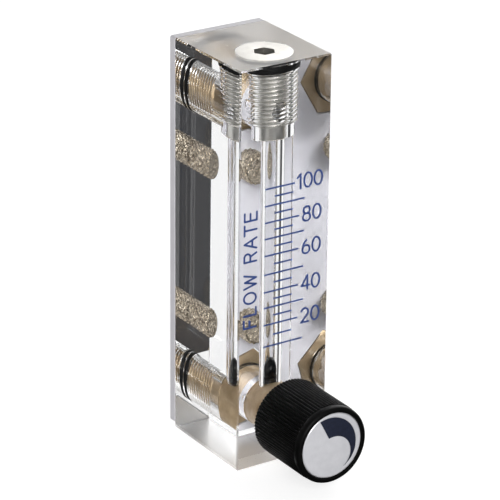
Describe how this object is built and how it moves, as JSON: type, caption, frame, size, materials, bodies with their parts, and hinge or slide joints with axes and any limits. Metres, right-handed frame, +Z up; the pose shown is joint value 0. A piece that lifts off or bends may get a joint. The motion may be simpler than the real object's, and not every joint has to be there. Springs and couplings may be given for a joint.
{
  "type": "acrylic flowmeter with needle valve",
  "caption": "Clear block variable-area flowmeter: ball float in a tapered bore, printed scale, rear pipe ports and a knurled needle-valve knob.",
  "frame": {"origin": "centre of the acrylic block's base", "axes": "+Z up along the float bore, +Y towards the back (ports and mounting inserts), -Y towards the scale and knob, +X to the right seen from the front"},
  "size_m": [0.0254, 0.0557, 0.1016],
  "materials": {
    "clear_acrylic": "polished clear cast acrylic",
    "backing": "pale satin sheet",
    "plug_metal": "turned, satin",
    "brass": "machined",
    "stainless": "machined",
    "black_rubber": "moulded nitrile",
    "white_ptfe": "machined PTFE",
    "black_ball": "polished black glass or ceramic ball",
    "black_plastic": "moulded, satin",
    "silver_cap": "satin anodised dome",
    "blue_ink": "screen-printed ink",
    "navy_ink": "screen-printed ink"
  },
  "bodies": {
    "meter": {"acrylic_block": "clear_acrylic", "backing_plate": "backing", "top_plug": "plug_metal", "top_plug_o_ring": "black_rubber", "outlet_port_adapter": "brass", "outlet_port_o_ring": "black_rubber", "inlet_port_adapter": "brass", "inlet_port_o_ring": "black_rubber", "upper_mounting_insert": "brass", "lower_mounting_insert": "brass", "upper_float_stop": "stainless", "lower_float_stop": "black_rubber", "valve_body": "brass", "valve_body_o_ring": "black_rubber", "valve_seat": "white_ptfe", "scale_ticks": "blue_ink", "scale_numerals": "blue_ink", "scale_lettering": "blue_ink"},
    "float": {"float_ball": "black_ball"},
    "stem_carrier": {"stem_o_ring": "black_rubber"},
    "knob_and_stem": {"needle_stem": "stainless", "stem_stop_clip": "stainless", "knob": "black_plastic", "knob_bushing": "brass", "knob_set_screw": "stainless", "knob_cap": "silver_cap", "knob_arrow": "navy_ink"}
  },
  "joints": [
    {"name": "float_rise", "type": "slide", "parent": "meter", "child": "float", "axis": [0, 0, 1], "range_m": [0, 0.0581]},
    {"name": "stem_travel", "type": "slide", "parent": "meter", "child": "stem_carrier", "axis": [0, -1, 0], "range_m": [0, 0.00378]},
    {"name": "knob_turn", "type": "hinge", "parent": "stem_carrier", "child": "knob_and_stem", "pos_m": [0, -0.025, 0.0127], "axis": [0, -1, 0], "range_deg": [0, 1710]}
  ],
  "couplings": [
    {"joint": "stem_travel", "follows": "knob_turn", "m_per_rad": 0.00012637}
  ]
}
